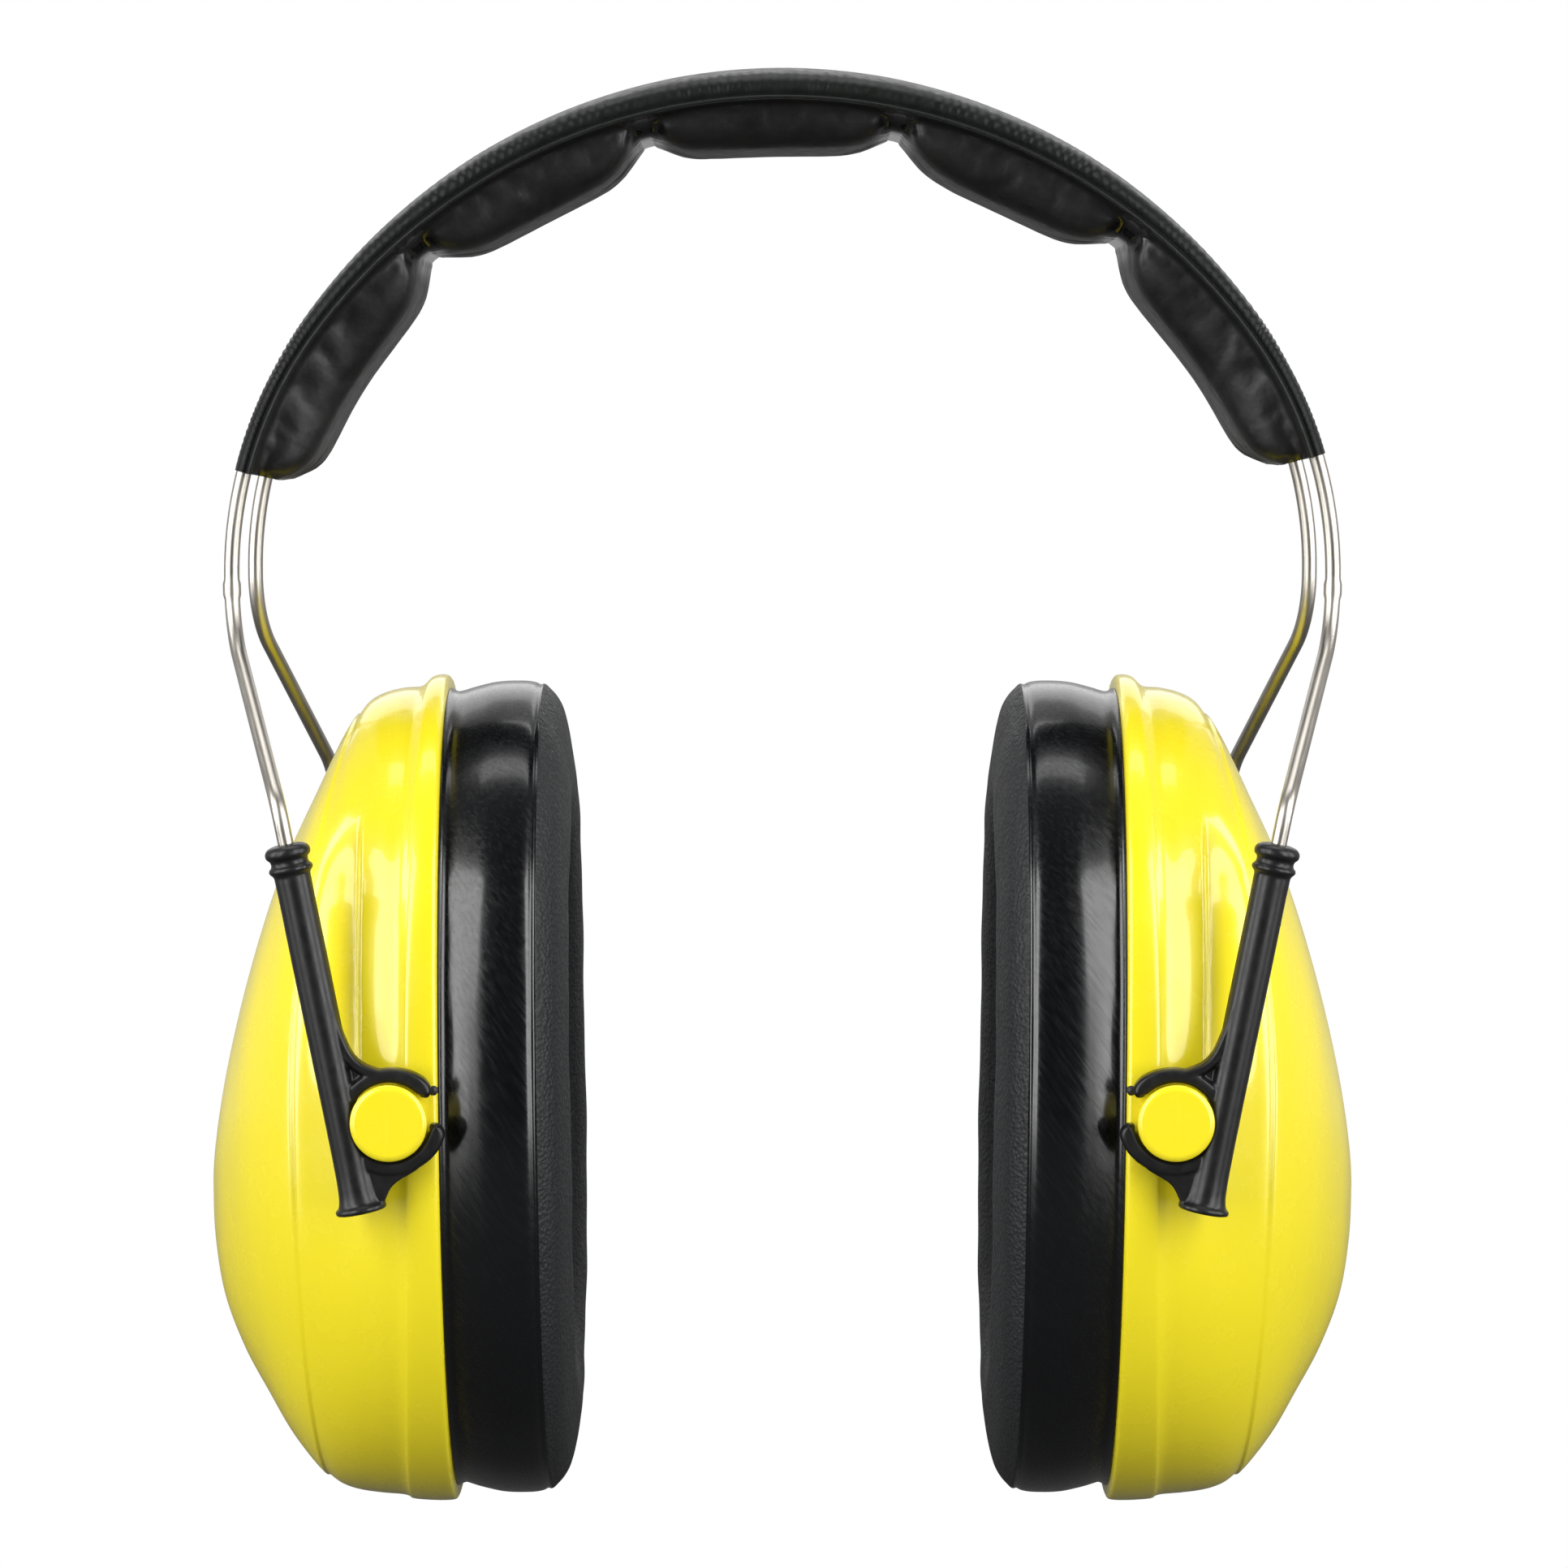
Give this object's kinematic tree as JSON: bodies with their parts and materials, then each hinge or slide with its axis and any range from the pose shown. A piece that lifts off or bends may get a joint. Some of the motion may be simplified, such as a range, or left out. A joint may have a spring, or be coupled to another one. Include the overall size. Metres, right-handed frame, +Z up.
{
  "type": "earmuff hearing protector",
  "caption": "Over-the-head earmuff: padded spring-wire band, slider sleeves with clip-on pivots, yellow cups with sealing cushions.",
  "frame": {"origin": "centre of the whole object's box", "axes": "+Z up towards the crown of the headband, X from cup to cup, -Y the front"},
  "size_m": [0.1422, 0.0868, 0.1788],
  "materials": {
    "headband_vinyl": "satin embossed",
    "lining_vinyl": "satin",
    "headband_foam": "matte",
    "spring_steel": "drawn",
    "stop_steel": "plain",
    "sleeve_plastic": "satin",
    "cup_plastic": "gloss",
    "acoustic_foam": "matte open cell",
    "plate_plastic": "satin",
    "cushion_foam": "matte",
    "cushion_vinyl": "gloss sides, stippled face"
  },
  "bodies": {
    "headband": {"headband_outer_cover": "headband_vinyl", "headband_lining": "lining_vinyl", "foam_pad_left_end": "headband_foam", "foam_pad_left": "headband_foam", "foam_pad_centre": "headband_foam", "foam_pad_right": "headband_foam", "foam_pad_right_end": "headband_foam", "front_spring_wire": "spring_steel", "rear_spring_wire": "spring_steel"},
    "left_wire_ends": {"left_front_wire_stop": "stop_steel", "left_rear_wire_stop": "stop_steel"},
    "left_front_sleeve": {"left_front_sleeve": "sleeve_plastic"},
    "left_rear_sleeve": {"left_rear_sleeve": "sleeve_plastic"},
    "left_cup": {"left_cup_shell": "cup_plastic", "left_acoustic_foam": "acoustic_foam", "left_cushion_plate": "plate_plastic", "left_cushion_foam": "cushion_foam", "left_cushion_cover": "cushion_vinyl"},
    "right_wire_ends": {"right_front_wire_stop": "stop_steel", "right_rear_wire_stop": "stop_steel"},
    "right_front_sleeve": {"right_front_sleeve": "sleeve_plastic"},
    "right_rear_sleeve": {"right_rear_sleeve": "sleeve_plastic"},
    "right_cup": {"right_cup_shell": "cup_plastic", "right_acoustic_foam": "acoustic_foam", "right_cushion_plate": "plate_plastic", "right_cushion_foam": "cushion_foam", "right_cushion_cover": "cushion_vinyl"}
  },
  "joints": [
    {"name": "left_band_flex", "type": "hinge", "parent": "headband", "child": "left_wire_ends", "pos_m": [-0.0435, 0, 0.0575], "axis": [0, 1, 0], "range_deg": [0, 32], "stiffness_Nm_per_rad": 3.2, "deforming": ["front_spring_wire", "rear_spring_wire"]},
    {"name": "left_front_slide", "type": "slide", "parent": "left_wire_ends", "child": "left_front_sleeve", "axis": [0.1961, 0, -0.9806], "range_m": [0, 0.028]},
    {"name": "left_rear_slide", "type": "slide", "parent": "left_wire_ends", "child": "left_rear_sleeve", "axis": [0.1961, 0, -0.9806], "range_m": [0, 0.028]},
    {"name": "left_cup_tilt", "type": "hinge", "parent": "left_front_sleeve", "child": "left_cup", "pos_m": [-0.0466, 0, -0.0373], "axis": [0, 1, 0], "range_deg": [-30, 8]},
    {"name": "right_band_flex", "type": "hinge", "parent": "headband", "child": "right_wire_ends", "pos_m": [0.0435, 0, 0.0575], "axis": [0, -1, 0], "range_deg": [0, 32], "stiffness_Nm_per_rad": 3.2},
    {"name": "right_front_slide", "type": "slide", "parent": "right_wire_ends", "child": "right_front_sleeve", "axis": [-0.1961, 0, -0.9806], "range_m": [0, 0.028]},
    {"name": "right_rear_slide", "type": "slide", "parent": "right_wire_ends", "child": "right_rear_sleeve", "axis": [-0.1961, 0, -0.9806], "range_m": [0, 0.028]},
    {"name": "right_cup_tilt", "type": "hinge", "parent": "right_front_sleeve", "child": "right_cup", "pos_m": [0.0466, 0, -0.0373], "axis": [0, -1, 0], "range_deg": [-30, 8]}
  ],
  "couplings": [
    {"joint": "left_rear_slide", "follows": "left_front_slide", "ratio": 1},
    {"joint": "right_rear_slide", "follows": "right_front_slide", "ratio": 1},
    {"joint": "right_band_flex", "follows": "left_band_flex", "ratio": 1}
  ]
}
